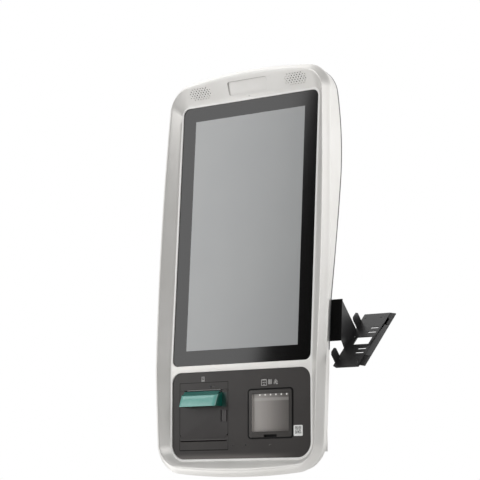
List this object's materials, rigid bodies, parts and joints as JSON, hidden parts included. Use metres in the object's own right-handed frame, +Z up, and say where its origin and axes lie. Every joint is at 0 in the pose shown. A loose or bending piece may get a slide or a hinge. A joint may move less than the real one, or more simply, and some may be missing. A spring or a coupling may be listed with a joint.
{
  "type": "self-checkout machine",
  "caption": "Wall or pole mounted self-checkout: leaning touch screen in a bowed white frame over a panel with receipt printer and code scanner, steel terminal cradle at the side.",
  "frame": {"origin": "middle of the bolt pattern on the rear face of the back plate", "axes": "+X right as the user sees it, +Y back towards the wall, +Z up"},
  "size_m": [0.5006, 0.1271, 0.8181],
  "materials": {
    "white_shell": "fine satin",
    "dark_panel": "satin",
    "dark_gloss": "gloss",
    "cover_glass": "polished, printed border",
    "teal_clear": "clear tinted",
    "black_steel": "powder coat",
    "grey_cover": "powder coat",
    "bare_steel": "brushed",
    "rubber": "matt",
    "white_gear": "moulded",
    "board": "solder mask",
    "alloy": "extruded",
    "window": "tinted",
    "lamp": "clear lens",
    "label": "printed",
    "grey_plastic": "satin"
  },
  "bodies": {
    "machine": {"front_frame": "white_shell", "speaker_grille_left": "white_shell", "speaker_grille_right": "white_shell", "camera_blank": "white_shell", "speaker_left": "rubber", "speaker_right": "rubber", "microphone": "alloy", "touch_glass": "cover_glass", "lcd_panel": "grey_plastic", "display_chassis": "bare_steel", "mainboard": "board", "heat_sink": "alloy", "power_supply": "bare_steel", "lower_panel": "dark_panel", "printer_frame": "dark_panel", "door_pin": "bare_steel", "idler_stud": "bare_steel", "feed_motor": "bare_steel", "print_head": "alloy", "head_bracket": "bare_steel", "cutter_unit": "grey_plastic", "tear_bar": "bare_steel", "printer_led": "lamp", "button_board": "board", "scanner_face": "dark_gloss", "scanner_window": "window", "scanner_housing": "grey_plastic", "scanner_leds": "lamp", "scanner_engine": "dark_gloss", "code_label": "label", "indicator_lenses": "lamp", "rear_cover_upper": "grey_cover", "rear_cover_lower": "white_shell", "rear_housing": "grey_cover", "vesa_plate": "black_steel", "cover_screws": "bare_steel", "housing_screws": "bare_steel", "terminal_cradle": "black_steel", "cradle_screws": "bare_steel", "power_inlet": "dark_panel", "switch_frame": "dark_panel", "lan_port": "bare_steel", "usb_ports": "bare_steel"},
    "door": {"printer_door": "dark_panel", "paper_mouth": "teal_clear", "latch_pin": "bare_steel"},
    "latch": {"door_latch": "dark_panel"},
    "platen": {"platen_roller": "rubber", "platen_shaft": "bare_steel", "platen_gear": "white_gear"},
    "idler": {"idler_gear": "white_gear"},
    "pinion": {"motor_pinion": "white_gear"},
    "feed_key": {"feed_button": "grey_plastic"},
    "rocker": {"power_switch": "dark_gloss"}
  },
  "joints": [
    {"name": "door_hinge", "type": "hinge", "parent": "machine", "child": "door", "pos_m": [-0.08825, -0.07875, -0.333], "axis": [1, 0, 0], "range_deg": [0, 80]},
    {"name": "latch_pivot", "type": "hinge", "parent": "door", "child": "latch", "pos_m": [-0.0445, -0.08055, -0.2885], "axis": [0, 0, -1], "range_deg": [0, 30], "stiffness_Nm_per_rad": 0.02},
    {"name": "platen_spin", "type": "hinge", "parent": "door", "child": "platen", "pos_m": [-0.08825, -0.07175, -0.248], "axis": [1, 0, 0], "continuous": true},
    {"name": "idler_spin", "type": "hinge", "parent": "machine", "child": "idler", "pos_m": [-0.14025, -0.05963, -0.248], "axis": [1, 0, 0], "continuous": true},
    {"name": "pinion_spin", "type": "hinge", "parent": "machine", "child": "pinion", "pos_m": [-0.14025, -0.04991, -0.248], "axis": [1, 0, 0], "continuous": true},
    {"name": "feed_press", "type": "slide", "parent": "machine", "child": "feed_key", "axis": [0, 1, 0], "range_m": [0, 0.0015], "stiffness_N_per_m": 400},
    {"name": "power_rocker", "type": "hinge", "parent": "machine", "child": "rocker", "pos_m": [0.076, -0.03, -0.3565], "axis": [0, 1, 0], "range_deg": [-14, 0]}
  ],
  "couplings": [
    {"joint": "idler_spin", "follows": "platen_spin", "ratio": -1.1429},
    {"joint": "pinion_spin", "follows": "platen_spin", "ratio": 1.6}
  ]
}
